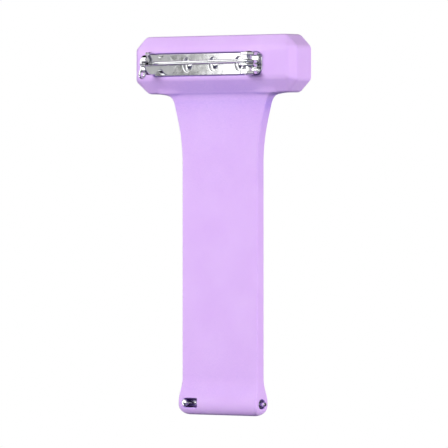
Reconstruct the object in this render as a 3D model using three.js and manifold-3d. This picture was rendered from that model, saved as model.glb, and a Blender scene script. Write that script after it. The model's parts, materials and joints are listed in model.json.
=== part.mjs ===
// Silicone fob strap with a steel brooch pin at its head and a quick-release
// spring bar at its foot.  Millimetres, +Z up, as it hangs on a tunic.
//
// The origin is on the outer face of the brooch bar, in the middle of the head:
// the cloth lies there, between the bar and the needle.  -Y points away from
// the strap's back, towards the cloth.

import * as THREE from "three";
import { mergeVertices } from "three/addons/utils/BufferGeometryUtils.js";
import Module from "manifold-3d";

const wasm = await Module();
wasm.setup();

// ---------------------------------------------------------------- dimensions

// Strap head: a block with a mitred bevel that rises to a flat plateau.
const HEAD_WIDTH = 50.3;
const HEAD_HEIGHT = 13.8;
const CORNER_CUT_X = 3.3;
const CORNER_CUT_Z = 3.0;
const PLATEAU_WIDTH = 46.4;
const PLATEAU_TOP_Z = 3.8;
const PLATEAU_LOW_Z = -3.3;
const PLATEAU_Y = -0.3;
const BEVEL_FOOT_Y = 1.4;
const LOW_BEVEL_FOOT_Y = 2.1;
const HEAD_FRONT_Y = 6.85;

// Band and lug.
const BAND_MID_Y = 4.0;
const BAND_HALF_WIDTH = 11.75;
const BAND_HALF_THICKNESS = 1.3;
const COVE_FOOT_Z = -8.9;
const FILLET_START_X = 17.9;
const FILLET_END_X = 14.2;
const FILLET_END_Z = -9.6;
const TAPER_END_Z = -24;
const LUG_HALF_WIDTH = 12.15;
const LUG_HALF_THICKNESS = 2.3;
const LUG_CORNER_RADIUS = 2.2;
const STRAP_BOTTOM_Z = -84.05;
const LUG_TOP_Z = -74.8;
const LUG_SIDE_TOP_Z = -79.9;
const SPRING_BAR_Z = -81.1;
const LUG_BORE_RADIUS = 1.15;
const LEVER_SLOT_LEFT = -10.95;
const LEVER_SLOT_RIGHT = -6.4;
const LEVER_SLOT_HALF_HEIGHT = 1.1;

// Brooch bar, in a shallow pocket of the plateau.
const BAR_LEFT = -18.9;
const BAR_RIGHT = 15.1;
const BAR_HALF_HEIGHT = 2.6;
const BAR_THICKNESS = 0.8;
const BAR_CORNER = 1.0;
const POCKET_GAP = 0.15;
const EAR_THICKNESS = 0.7;
const EAR_RADIUS = 2.15;

// Rivets that hold the bar to the plate moulded into the head.
const RIVET_PITCH = 8.0;
const RIVET_MIDDLE_X = 0.3;
const BAR_HOLE_RADIUS_X = 1.4;
const BAR_HOLE_RADIUS_Z = 1.7;
const COUNTERBORE_DEPTH = 0.5;
const RIVET_HEAD_RADIUS = 1.22;
const RIVET_SHANK_RADIUS = 0.8;
const ANCHOR_BACK_Y = 2.2;
const ANCHOR_FRONT_Y = 3.2;
const ANCHOR_HALF_WIDTH = 20.0;
const ANCHOR_HALF_HEIGHT = 4.2;
const MOULD_GAP = 0.05;
const RIVET_TAIL_ROOM = 0.1;
const TAIL_CAVITY_FRONT_Y = 3.8;

// Needle and its hinge.
const HINGE_X = 13.3;
const HINGE_Y = -2.3;
const HINGE_RIVET_RADIUS = 0.75;
const NEEDLE_RADIUS = 0.425;
const COIL_RADIUS = 1.65;
const COIL_PITCH = 0.92;
const COIL_TURNS = 1.8;
const NEEDLE_TOP_Z = 0.6;
const NEEDLE_END_X = -17.55;
const NEEDLE_POINT_LENGTH = 2.2;
const NEEDLE_POINT_RADIUS = 0.08;

// Roll-over safety catch, round an axis along X.
const CATCH_Y = -3.0;
const CATCH_Z = 0.35;
const SHELL_RADIUS = 2.8;
const SHELL_WALL = 0.55;
const SHELL_LEFT = -17.7;
const SHELL_RIGHT = -16.3;
const SHELL_PLATE = 0.35;
const ROTOR_RADIUS = 2.14;
const ROTOR_GAP = 0.1;
const ROTOR_BORE_RADIUS = 0.6;
const ROTOR_FLANGE_LEFT = -18.5;
const ROTOR_FLANGE_RIGHT = -17.9;
const SLOT_HALF_WIDTH = 0.45;
const TAB_ANGLE = THREE.MathUtils.degToRad(-60);
const TAB_REACH = 3.0;
const TAB_RADIUS = 1.1;
const TAB_HOLE_RADIUS = 0.6;

// Quick-release spring bar, along X through the lug.
const TUBE_HALF_LENGTH = 11.7;
const TUBE_RADIUS = 0.95;
const TUBE_BORE_RADIUS = 0.675;
const TUBE_LIP_LENGTH = 0.3;
const TUBE_LIP_RADIUS = 0.58;
const TIP_RADIUS = 0.5;
const TIP_END_X = 13.3;
const SHOULDER_RADIUS = 0.61;
const SHOULDER_X = 11.3;
const PLUNGER_INNER_X = -7.2;
const FIXED_TIP_INNER_X = 1.0;
const KNOB_X = -10.05;
const KNOB_RADIUS = 0.86;
const KNOB_TOP_Y = 1.25;
const KNOB_UNDER_Y = 2.35;
const KNOB_STEM_RADIUS = 0.28;
const KNOB_SEAT_DEPTH = 0.35;
const SPRING_WIRE_RADIUS = 0.11;
const SPRING_COIL_RADIUS = 0.45;
const SPRING_TURNS = 11;

// ----------------------------------------------------------------- materials

function finish(color, roughness, metalness) {
  return new THREE.MeshStandardMaterial({ color, roughness, metalness });
}

const SILICONE = { color: 0xe4bdfc, roughness: 0.62, metalness: 0 };
const POLISHED = { color: 0xd6d8da, roughness: 0.16, metalness: 1 };
const SPRING_STEEL = { color: 0xb8babd, roughness: 0.3, metalness: 1 };

// ------------------------------------------------------------------- helpers

// A closed three.js geometry as a solid that can be joined and cut.
function solid(geometry) {
  const bare = geometry.clone();
  bare.deleteAttribute("normal");
  bare.deleteAttribute("uv");
  const merged = mergeVertices(bare, 1e-5);
  const mesh = new wasm.Mesh({
    numProp: 3,
    vertProperties: new Float32Array(merged.attributes.position.array),
    triVerts: new Uint32Array(merged.index.array),
  });
  return new wasm.Manifold(mesh);
}

function geometryOf(body) {
  const { vertProperties, triVerts } = body.getMesh();
  const geometry = new THREE.BufferGeometry();
  geometry.setAttribute("position", new THREE.BufferAttribute(vertProperties, 3));
  geometry.setIndex(new THREE.BufferAttribute(triVerts, 1));
  geometry.computeVertexNormals();
  return geometry;
}

function extrude(shape, depth, curveSegments = 14) {
  return new THREE.ExtrudeGeometry(shape, { depth, curveSegments, bevelEnabled: false });
}

// A shape drawn in X and Z, as thick as yLow to yHigh.
function slabAlongY(shape, yLow, yHigh) {
  const geometry = extrude(shape, yHigh - yLow);
  return solid(geometry.rotateX(Math.PI / 2).translate(0, yHigh, 0));
}

// A shape drawn in Y and Z, as long as xLow to xHigh.
function slabAlongX(shape, xLow, xHigh) {
  const turn = new THREE.Matrix4().set(0, 0, 1, 0, 1, 0, 0, 0, 0, 1, 0, 0, 0, 0, 0, 1);
  const geometry = extrude(shape, xHigh - xLow);
  return solid(geometry.applyMatrix4(turn).translate(xLow, 0, 0));
}

// A shape drawn in X and Y, as tall as zLow to zHigh.
function slabAlongZ(shape, zLow, zHigh) {
  return solid(extrude(shape, zHigh - zLow).translate(0, 0, zLow));
}

function polygon(points) {
  return new THREE.Shape(points.map(([a, b]) => new THREE.Vector2(a, b)));
}

function rectangle(left, right, low, high) {
  return polygon([[left, low], [right, low], [right, high], [left, high]]);
}

function ellipse(x, y, radiusX, radiusY = radiusX) {
  return new THREE.Shape().absellipse(x, y, radiusX, radiusY, 0, Math.PI * 2, false, 0);
}

// A profile of [radius, height] pairs, turned round the Y axis.
function turned(profile, segments = 24) {
  const points = profile.map(([radius, height]) => new THREE.Vector2(radius, height));
  return new THREE.LatheGeometry(points, segments);
}

// The same profile turned round a line along X, heights becoming X.
function turnedAlongX(profile, y, z, segments = 24) {
  return solid(turned(profile, segments).rotateZ(-Math.PI / 2).translate(0, y, z));
}

// A helix round a line along Z, sinking as it turns; angle 0 is on the -Y side.
class Helix extends THREE.Curve {
  constructor(radius, pitch, turns) {
    super();
    Object.assign(this, { radius, pitch, turns });
  }

  getPoint(t, target = new THREE.Vector3()) {
    const angle = -Math.PI / 2 + 2 * Math.PI * this.turns * t;
    return target.set(
      this.radius * Math.cos(angle),
      this.radius * Math.sin(angle),
      -this.pitch * this.turns * t,
    );
  }
}

// A round wire; its section has twice as many sides as curveSegments.
function wireAlong(curve, wireRadius, stepsPerTurn, curveSegments) {
  return new THREE.ExtrudeGeometry(ellipse(0, 0, wireRadius), {
    steps: Math.round(curve.turns * stepsPerTurn),
    curveSegments,
    extrudePath: curve,
  });
}

const group = new THREE.Group();

function addPart(name, body, look) {
  const material = finish(look.color, look.roughness, look.metalness);
  const mesh = new THREE.Mesh(geometryOf(body), material);
  mesh.name = name;
  group.add(mesh);
}

function rivetPositions() {
  return [-1, 0, 1].map((step) => RIVET_MIDDLE_X + step * RIVET_PITCH);
}

// --------------------------------------------------------------- the strap

// Octagonal head: a flat rectangle on the back, bevelled down to the octagon.
// The lower bevel is the deeper one, so that it runs on into the band.
function headBlock() {
  const x = HEAD_WIDTH / 2;
  const z = HEAD_HEIGHT / 2;
  const octagon = [
    [-x, CORNER_CUT_Z - z],
    [CORNER_CUT_X - x, -z],
    [x - CORNER_CUT_X, -z],
    [x, CORNER_CUT_Z - z],
    [x, z - CORNER_CUT_Z],
    [x - CORNER_CUT_X, z],
    [CORNER_CUT_X - x, z],
    [-x, z - CORNER_CUT_Z],
  ];
  const plateau = [-1, 1].flatMap((side) => [
    [side * PLATEAU_WIDTH / 2, PLATEAU_Y, PLATEAU_LOW_Z],
    [side * PLATEAU_WIDTH / 2, PLATEAU_Y, PLATEAU_TOP_Z],
  ]);
  const bevelFoot = (pz) => (pz === -z ? LOW_BEVEL_FOOT_Y : BEVEL_FOOT_Y);
  return wasm.Manifold.hull([
    ...plateau,
    ...octagon.map(([px, pz]) => [px, bevelFoot(pz), pz]),
    ...octagon.map(([px, pz]) => [px, HEAD_FRONT_Y, pz]),
  ]);
}

// The band's front outline: fillets at the head, a taper, and the wider lug.
function bandOutline() {
  const headFoot = -HEAD_HEIGHT / 2;
  const band = BAND_HALF_WIDTH;
  const lug = LUG_HALF_WIDTH;
  const cornerZ = STRAP_BOTTOM_Z + LUG_CORNER_RADIUS;
  const cornerX = LUG_HALF_WIDTH - LUG_CORNER_RADIUS;
  const fillet = FILLET_END_X;
  const taperZ = TAPER_END_Z + 6.8;
  const shape = new THREE.Shape();
  shape.moveTo(-FILLET_START_X, headFoot + 2);
  shape.lineTo(-FILLET_START_X, headFoot);
  shape.bezierCurveTo(-fillet - 1.3, headFoot, -fillet - 0.45, -8.2, -fillet, FILLET_END_Z);
  shape.bezierCurveTo(-fillet + 1, FILLET_END_Z - 3.8, -band, taperZ, -band, TAPER_END_Z);
  shape.lineTo(-band, LUG_TOP_Z);
  shape.bezierCurveTo(-band, LUG_TOP_Z - 2.6, -lug, LUG_TOP_Z - 3.6, -lug, LUG_SIDE_TOP_Z);
  shape.lineTo(-lug, cornerZ);
  shape.absarc(-cornerX, cornerZ, LUG_CORNER_RADIUS, Math.PI, Math.PI * 1.5, false);
  shape.absarc(cornerX, cornerZ, LUG_CORNER_RADIUS, Math.PI * 1.5, Math.PI * 2, false);
  shape.lineTo(lug, LUG_SIDE_TOP_Z);
  shape.bezierCurveTo(lug, LUG_TOP_Z - 3.6, band, LUG_TOP_Z - 2.6, band, LUG_TOP_Z);
  shape.lineTo(band, TAPER_END_Z);
  shape.bezierCurveTo(band, taperZ, fillet - 1, FILLET_END_Z - 3.8, fillet, FILLET_END_Z);
  shape.bezierCurveTo(fillet + 0.45, -8.2, fillet + 1.3, headFoot, FILLET_START_X, headFoot);
  shape.lineTo(FILLET_START_X, headFoot + 2);
  return shape;
}

// Side view of the band: flat, with a cove under the head and a bead at the foot.
function bandProfile() {
  const back = BAND_MID_Y - BAND_HALF_THICKNESS;
  const front = BAND_MID_Y + BAND_HALF_THICKNESS;
  const beadBack = BAND_MID_Y - LUG_HALF_THICKNESS;
  const beadFront = BAND_MID_Y + LUG_HALF_THICKNESS;
  const headFoot = -HEAD_HEIGHT / 2;
  const beadFoot = SPRING_BAR_Z - STRAP_BOTTOM_Z;
  const bevelSlope = (PLATEAU_LOW_Z - headFoot) / (LOW_BEVEL_FOOT_Y - PLATEAU_Y);
  const coveTurnZ = headFoot - bevelSlope * (back - LOW_BEVEL_FOOT_Y);
  const shape = new THREE.Shape();
  shape.moveTo(LOW_BEVEL_FOOT_Y, headFoot + 2);
  shape.lineTo(LOW_BEVEL_FOOT_Y, headFoot);
  shape.quadraticCurveTo(back, coveTurnZ, back, COVE_FOOT_Z);
  shape.lineTo(back, LUG_TOP_Z);
  shape.bezierCurveTo(back, LUG_TOP_Z - 2.8, beadBack, LUG_TOP_Z - 4.4, beadBack, SPRING_BAR_Z);
  shape.absellipse(
    BAND_MID_Y, SPRING_BAR_Z, LUG_HALF_THICKNESS, beadFoot, Math.PI, Math.PI * 2, false, 0,
  );
  shape.bezierCurveTo(beadFront, LUG_TOP_Z - 4.4, front, LUG_TOP_Z - 2.8, front, LUG_TOP_Z);
  shape.lineTo(front, headFoot + 2);
  return shape;
}

// Where the lever's knob travels: round at the outer end, square at the inner.
function leverSlot() {
  const half = LEVER_SLOT_HALF_HEIGHT;
  const shape = new THREE.Shape();
  shape.moveTo(LEVER_SLOT_RIGHT, SPRING_BAR_Z - half);
  shape.lineTo(LEVER_SLOT_RIGHT, SPRING_BAR_Z + half);
  shape.lineTo(LEVER_SLOT_LEFT + half, SPRING_BAR_Z + half);
  shape.absarc(
    LEVER_SLOT_LEFT + half, SPRING_BAR_Z, half, Math.PI / 2, Math.PI * 1.5, false,
  );
  return slabAlongY(shape, BAND_MID_Y - LUG_HALF_THICKNESS - 1, BAND_MID_Y);
}

function barOutline(gap) {
  const left = BAR_LEFT - gap;
  const right = BAR_RIGHT + gap;
  const half = BAR_HALF_HEIGHT + gap;
  return polygon([
    [left, BAR_CORNER - half],
    [left + BAR_CORNER, -half],
    [right - BAR_CORNER, -half],
    [right, BAR_CORNER - half],
    [right, half - BAR_CORNER],
    [right - BAR_CORNER, half],
    [left + BAR_CORNER, half],
    [left, half - BAR_CORNER],
  ]);
}

function rivetBore(x, radius, yLow, yHigh) {
  return slabAlongY(ellipse(x, 0, radius), yLow, yHigh);
}

// The space in the rubber that the anchor plate and the rivets' tails fill.
function anchorCavity() {
  const halfWidth = ANCHOR_HALF_WIDTH + MOULD_GAP;
  const halfHeight = ANCHOR_HALF_HEIGHT + MOULD_GAP;
  let cavity = slabAlongY(
    rectangle(-halfWidth, halfWidth, -halfHeight, halfHeight),
    ANCHOR_BACK_Y - MOULD_GAP,
    ANCHOR_FRONT_Y + MOULD_GAP,
  );
  for (const x of rivetPositions()) {
    const shank = rivetBore(x, RIVET_SHANK_RADIUS + RIVET_TAIL_ROOM, 0, ANCHOR_BACK_Y);
    const tailRadius = RIVET_HEAD_RADIUS + RIVET_TAIL_ROOM;
    const tail = rivetBore(x, tailRadius, ANCHOR_BACK_Y, TAIL_CAVITY_FRONT_Y);
    cavity = cavity.add(shank).add(tail);
  }
  return cavity;
}

function strap() {
  const halfSpan = LUG_HALF_WIDTH + 8;
  const band = slabAlongY(bandOutline(), -5, 12)
    .intersect(slabAlongX(bandProfile(), -halfSpan, halfSpan));
  const bore = slabAlongX(ellipse(BAND_MID_Y, SPRING_BAR_Z, LUG_BORE_RADIUS), -halfSpan, halfSpan);
  const pocket = slabAlongY(barOutline(POCKET_GAP), PLATEAU_Y - 1, BAR_THICKNESS);
  return headBlock()
    .add(band)
    .subtract(bore)
    .subtract(leverSlot())
    .subtract(pocket)
    .subtract(anchorCavity());
}

addPart("silicone_strap", strap(), SILICONE);

// ----------------------------------------------- anchor plate, rivets, bar

function anchorPlate() {
  let plate = slabAlongY(
    rectangle(-ANCHOR_HALF_WIDTH, ANCHOR_HALF_WIDTH, -ANCHOR_HALF_HEIGHT, ANCHOR_HALF_HEIGHT),
    ANCHOR_BACK_Y,
    ANCHOR_FRONT_Y,
  );
  for (const x of rivetPositions()) {
    plate = plate.subtract(rivetBore(x, RIVET_SHANK_RADIUS + MOULD_GAP, 0, HEAD_FRONT_Y));
  }
  return plate;
}

addPart("anchor_plate", anchorPlate(), SPRING_STEEL);

// A low dome under the bar's face, a shank, and a tail spread over the plate.
function barRivet(x) {
  const tail = ANCHOR_FRONT_Y + MOULD_GAP / 2;
  const profile = [
    [0, 0.1],
    [0.6, 0.13],
    [1.0, 0.22],
    [RIVET_HEAD_RADIUS, 0.34],
    [RIVET_HEAD_RADIUS, COUNTERBORE_DEPTH],
    [RIVET_SHANK_RADIUS, COUNTERBORE_DEPTH],
    [RIVET_SHANK_RADIUS, tail],
    [1.15, tail],
    [1.0, 3.6],
    [0, 3.7],
  ];
  return solid(turned(profile, 28).translate(x, 0, 0));
}

rivetPositions().forEach((x, index) => {
  addPart(`bar_rivet_${index + 1}`, barRivet(x), POLISHED);
});

// One ear of the hinge: a round lug on a straight neck, folded up from the bar.
function ear(zLow, zHigh) {
  const shape = new THREE.Shape();
  shape.moveTo(HINGE_X + 0.5, BAR_THICKNESS / 2);
  shape.lineTo(HINGE_X + EAR_RADIUS, HINGE_Y);
  shape.absarc(HINGE_X, HINGE_Y, EAR_RADIUS, 0, Math.PI, true);
  shape.lineTo(HINGE_X - 2.7, BAR_THICKNESS / 2);
  return slabAlongZ(shape, zLow, zHigh);
}

function broochBar() {
  const inner = BAR_HALF_HEIGHT - EAR_THICKNESS;
  let bar = slabAlongY(barOutline(0), 0, BAR_THICKNESS)
    .add(ear(inner, BAR_HALF_HEIGHT))
    .add(ear(-BAR_HALF_HEIGHT, -inner));
  for (const x of rivetPositions()) {
    const hole = ellipse(x, 0, BAR_HOLE_RADIUS_X, BAR_HOLE_RADIUS_Z);
    bar = bar.subtract(slabAlongY(hole, -1, COUNTERBORE_DEPTH));
    bar = bar.subtract(rivetBore(x, RIVET_SHANK_RADIUS + MOULD_GAP, 0, BAR_THICKNESS + 1));
  }
  const pinHole = ellipse(HINGE_X, HINGE_Y, HINGE_RIVET_RADIUS + 0.03);
  return bar.subtract(slabAlongZ(pinHole, -5, 5));
}

addPart("brooch_bar", broochBar(), POLISHED);

// ------------------------------------------------------- hinge and needle

function hingeRivet() {
  const seat = BAR_HALF_HEIGHT + 0.02;
  const profile = [
    [0, -seat - 0.36],
    [0.8, -seat - 0.28],
    [1.15, -seat],
    [HINGE_RIVET_RADIUS, -seat],
    [HINGE_RIVET_RADIUS, seat],
    [1.15, seat],
    [0.8, seat + 0.28],
    [0, seat + 0.36],
  ];
  return solid(turned(profile).rotateX(Math.PI / 2).translate(HINGE_X, HINGE_Y, 0));
}

addPart("hinge_rivet", hingeRivet(), POLISHED);

// A spring coil round the rivet, and a straight stem that ends in a point.
function pinNeedle() {
  const coil = wireAlong(new Helix(COIL_RADIUS, COIL_PITCH, COIL_TURNS), NEEDLE_RADIUS, 26, 6);
  coil.translate(HINGE_X, HINGE_Y, NEEDLE_TOP_Z);

  const start = new THREE.Vector3(HINGE_X, HINGE_Y - COIL_RADIUS, NEEDLE_TOP_Z);
  const end = new THREE.Vector3(NEEDLE_END_X, CATCH_Y, CATCH_Z);
  const along = end.clone().sub(start);
  const length = along.length();
  const stem = turned([
    [0, 0],
    [NEEDLE_RADIUS, 0],
    [NEEDLE_RADIUS, length - NEEDLE_POINT_LENGTH],
    [NEEDLE_POINT_RADIUS, length - 0.05],
    [0, length],
  ], 16);
  const turn = new THREE.Quaternion().setFromUnitVectors(
    new THREE.Vector3(0, 1, 0),
    along.normalize(),
  );
  stem.applyQuaternion(turn).translate(start.x, start.y, start.z);
  return solid(coil).add(solid(stem));
}

addPart("pin_needle", pinNeedle(), POLISHED);

// ------------------------------------------------------------ safety catch

// A point at a radius and angle round the catch's axis, as [Y, Z]: angle 0 is
// straight out from the bar, a quarter turn is +Z.
function roundCatch(radius, angle) {
  return [CATCH_Y - radius * Math.cos(angle), CATCH_Z + radius * Math.sin(angle)];
}

function catchDisc(radius, xLow, xHigh) {
  return slabAlongX(ellipse(CATCH_Y, CATCH_Z, radius), xLow, xHigh);
}

// The way in for the needle: straight out from the axis, widening towards +Z.
function catchMouth() {
  const reach = 5;
  const widest = THREE.MathUtils.degToRad(55);
  return polygon([
    [CATCH_Y, CATCH_Z - SLOT_HALF_WIDTH],
    [CATCH_Y - reach, CATCH_Z - SLOT_HALF_WIDTH],
    roundCatch(reach * 1.2, widest),
    roundCatch(SLOT_HALF_WIDTH, widest + Math.PI / 2),
    roundCatch(SLOT_HALF_WIDTH, Math.PI),
  ]);
}

// A fixed C-shaped shell with an end plate, standing on the bar.
function catchShell() {
  const plateLeft = SHELL_RIGHT - SHELL_PLATE;
  const foot = rectangle(CATCH_Y + SHELL_RADIUS - 0.5, 0, CATCH_Z - 1.5, CATCH_Z + 1.5);
  return catchDisc(SHELL_RADIUS, SHELL_LEFT, SHELL_RIGHT)
    .add(slabAlongX(foot, SHELL_LEFT, SHELL_RIGHT))
    .subtract(catchDisc(SHELL_RADIUS - SHELL_WALL, SHELL_LEFT - 1, plateLeft))
    .subtract(slabAlongX(catchMouth(), SHELL_LEFT - 1, SHELL_RIGHT + 1));
}

addPart("catch_shell", catchShell(), POLISHED);

// The slot in the turning barrel that the needle drops into.
function rotorSlot() {
  const slot = rectangle(
    CATCH_Y - 5, CATCH_Y, CATCH_Z - SLOT_HALF_WIDTH, CATCH_Z + SLOT_HALF_WIDTH,
  );
  return slabAlongX(slot, ROTOR_FLANGE_RIGHT, 0)
    .add(catchDisc(ROTOR_BORE_RADIUS, ROTOR_FLANGE_RIGHT, 0));
}

function catchRotor() {
  const [tabY, tabZ] = roundCatch(TAB_REACH, TAB_ANGLE);
  const half = Math.PI / 2;
  const [leftY, leftZ] = roundCatch(TAB_RADIUS, TAB_ANGLE - half);
  const [rightY, rightZ] = roundCatch(TAB_RADIUS, TAB_ANGLE + half);
  const arm = polygon([
    [leftY, leftZ],
    [rightY, rightZ],
    [rightY + tabY - CATCH_Y, rightZ + tabZ - CATCH_Z],
    [leftY + tabY - CATCH_Y, leftZ + tabZ - CATCH_Z],
  ]);
  const tab = slabAlongX(arm, ROTOR_FLANGE_LEFT, ROTOR_FLANGE_RIGHT)
    .add(slabAlongX(ellipse(tabY, tabZ, TAB_RADIUS), ROTOR_FLANGE_LEFT, ROTOR_FLANGE_RIGHT));
  const loop = ellipse(tabY, tabZ, TAB_HOLE_RADIUS);
  return catchDisc(ROTOR_RADIUS, ROTOR_FLANGE_LEFT, SHELL_RIGHT - SHELL_PLATE - ROTOR_GAP)
    .add(tab)
    .subtract(slabAlongX(loop, ROTOR_FLANGE_LEFT - 1, ROTOR_FLANGE_RIGHT + 1))
    .subtract(rotorSlot());
}

addPart("catch_rotor", catchRotor(), POLISHED);

// -------------------------------------------------- quick-release spring bar

function springBarTube() {
  const lip = TUBE_HALF_LENGTH - TUBE_LIP_LENGTH;
  const tube = turnedAlongX([
    [TUBE_LIP_RADIUS, -TUBE_HALF_LENGTH],
    [TUBE_RADIUS - 0.12, -TUBE_HALF_LENGTH],
    [TUBE_RADIUS, -TUBE_HALF_LENGTH + 0.12],
    [TUBE_RADIUS, TUBE_HALF_LENGTH - 0.12],
    [TUBE_RADIUS - 0.12, TUBE_HALF_LENGTH],
    [TUBE_LIP_RADIUS, TUBE_HALF_LENGTH],
    [TUBE_LIP_RADIUS, lip],
    [TUBE_BORE_RADIUS, lip],
    [TUBE_BORE_RADIUS, -lip],
    [TUBE_LIP_RADIUS, -lip],
    [TUBE_LIP_RADIUS, -TUBE_HALF_LENGTH],
  ], BAND_MID_Y, SPRING_BAR_Z);
  const slot = rectangle(KNOB_X - 0.5, KNOB_X + 2.3, SPRING_BAR_Z - 0.42, SPRING_BAR_Z + 0.42);
  return tube.subtract(slabAlongY(slot, 0, BAND_MID_Y));
}

addPart("spring_bar_tube", springBarTube(), POLISHED);

// A pin end with a shoulder that the tube's lip holds in; it points to +X.
function barTipProfile(innerX) {
  return [
    [0, innerX],
    [SHOULDER_RADIUS, innerX],
    [SHOULDER_RADIUS, SHOULDER_X],
    [TIP_RADIUS, SHOULDER_X],
    [TIP_RADIUS, TIP_END_X - 0.25],
    [TIP_RADIUS * 0.6, TIP_END_X - 0.04],
    [0, TIP_END_X],
  ];
}

function fixedTip() {
  return turnedAlongX(barTipProfile(FIXED_TIP_INNER_X), BAND_MID_Y, SPRING_BAR_Z);
}

addPart("spring_bar_fixed_tip", fixedTip(), POLISHED);

function plunger() {
  const profile = barTipProfile(-PLUNGER_INNER_X).map(([radius, x]) => [radius, -x]);
  const body = turnedAlongX(profile.reverse(), BAND_MID_Y, SPRING_BAR_Z);
  const seat = ellipse(KNOB_X, SPRING_BAR_Z, KNOB_STEM_RADIUS + 0.04);
  const seatFloor = BAND_MID_Y - SHOULDER_RADIUS + KNOB_SEAT_DEPTH;
  return body.subtract(slabAlongY(seat, 0, seatFloor));
}

addPart("quick_release_plunger", plunger(), POLISHED);

function knob() {
  const foot = BAND_MID_Y - SHOULDER_RADIUS + KNOB_SEAT_DEPTH - 0.03;
  const profile = [
    [0, KNOB_TOP_Y],
    [0.4, KNOB_TOP_Y + 0.06],
    [0.7, KNOB_TOP_Y + 0.26],
    [KNOB_RADIUS, KNOB_TOP_Y + 0.6],
    [KNOB_RADIUS, KNOB_UNDER_Y],
    [KNOB_STEM_RADIUS, KNOB_UNDER_Y],
    [KNOB_STEM_RADIUS, foot],
    [0, foot],
  ];
  return solid(turned(profile).translate(KNOB_X, 0, SPRING_BAR_Z));
}

addPart("quick_release_knob", knob(), POLISHED);

// The spring that pushes the plunger out: it stands between the two tips.
function springBarCoil() {
  const left = PLUNGER_INNER_X + SPRING_WIRE_RADIUS + 0.05;
  const right = FIXED_TIP_INNER_X - SPRING_WIRE_RADIUS - 0.05;
  const helix = new Helix(SPRING_COIL_RADIUS, (right - left) / SPRING_TURNS, SPRING_TURNS);
  const coil = wireAlong(helix, SPRING_WIRE_RADIUS, 12, 3);
  coil.rotateY(Math.PI / 2).translate(right, BAND_MID_Y, SPRING_BAR_Z);
  return solid(coil);
}

addPart("spring_bar_coil", springBarCoil(), SPRING_STEEL);

export default group;
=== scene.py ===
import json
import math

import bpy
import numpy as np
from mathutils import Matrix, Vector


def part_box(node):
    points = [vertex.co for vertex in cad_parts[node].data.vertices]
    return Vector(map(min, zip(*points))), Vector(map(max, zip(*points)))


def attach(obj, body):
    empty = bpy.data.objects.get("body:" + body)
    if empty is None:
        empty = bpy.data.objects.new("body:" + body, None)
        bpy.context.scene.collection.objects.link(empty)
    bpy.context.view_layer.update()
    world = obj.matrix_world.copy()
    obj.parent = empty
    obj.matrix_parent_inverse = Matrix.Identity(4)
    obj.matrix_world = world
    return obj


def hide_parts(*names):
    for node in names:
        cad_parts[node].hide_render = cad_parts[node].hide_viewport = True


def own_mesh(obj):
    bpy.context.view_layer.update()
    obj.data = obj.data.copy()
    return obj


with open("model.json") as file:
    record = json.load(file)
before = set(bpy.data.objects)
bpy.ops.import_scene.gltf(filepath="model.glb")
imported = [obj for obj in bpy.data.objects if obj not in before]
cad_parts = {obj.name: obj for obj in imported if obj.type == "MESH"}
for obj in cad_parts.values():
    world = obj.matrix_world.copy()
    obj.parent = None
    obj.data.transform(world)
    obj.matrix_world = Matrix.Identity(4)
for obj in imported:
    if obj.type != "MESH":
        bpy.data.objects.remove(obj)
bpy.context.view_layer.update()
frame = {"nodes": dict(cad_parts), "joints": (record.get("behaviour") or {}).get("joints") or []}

# The looks of a silicone fob strap with a steel brooch pin.  The strap, the bar,
# the catch and the spring bar's tube are skinned from signed distance fields, so
# each edge has its own fillet.  The needle and the spring are swept; the rivets,
# the tips and the knob are lathed.  Lengths are in millimetres until they are
# handed to Blender, which gets metres.

MM = 0.001


def node_box(node):
    """A node's lowest and highest corner, in millimetres."""
    low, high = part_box(node)
    return np.array(low) / MM, np.array(high) / MM


def joint_place(name):
    """Where a joint is, in millimetres."""
    joint = next(j for j in frame["joints"] if j["name"] == name)
    return np.array(joint["pos_m"]) / MM


# ------------------------------------------------------- places from the frame

STRAP_LOW, STRAP_HIGH = node_box("silicone_strap")
BAR_LOW, BAR_HIGH = node_box("brooch_bar")
SHELL_LOW, SHELL_HIGH = node_box("catch_shell")
ROTOR_LOW, ROTOR_HIGH = node_box("catch_rotor")
TUBE_LOW, TUBE_HIGH = node_box("spring_bar_tube")
NEEDLE_LOW = node_box("pin_needle")[0]
KNOB_LOW, KNOB_HIGH = node_box("quick_release_knob")
PLUNGER_LOW, PLUNGER_HIGH = node_box("quick_release_plunger")
TIP_LOW, TIP_HIGH = node_box("spring_bar_fixed_tip")
COIL_LOW, COIL_HIGH = node_box("spring_bar_coil")
HINGE = joint_place("needle_swing")
CATCH = joint_place("catch_turn")
SPRING_BAR = (TUBE_LOW + TUBE_HIGH) / 2

# Sizes of the moulding, as designed.
PLATEAU_HALF_WIDTH = 23.2
PLATEAU_TOP_Z = 3.8
PLATEAU_LOW_Z = -3.3
BEVEL_FOOT_Y = 1.4
LOW_BEVEL_FOOT_Y = 2.1
CORNER_CUT = np.array([3.3, 3.0])
BAND_MID_Y = SPRING_BAR[1]
BAND_HALF_WIDTH = 11.75
BAND_HALF_THICKNESS = 1.3
TAPER_END_Z = -24
FILLET_START_X = 17.9
FILLET_END_X = 14.2
FILLET_END_Z = -9.6
COVE_FOOT_Z = -8.9
LUG_TOP_Z = -74.8
LUG_SIDE_TOP_Z = -79.9
LUG_HALF_WIDTH = 12.15
LUG_HALF_THICKNESS = 2.3
LUG_CORNER = 2.2
BORE_RADIUS = 1.15
SLOT_LEFT = -10.95
SLOT_RIGHT = -6.4
SLOT_HALF = 1.1

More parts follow.
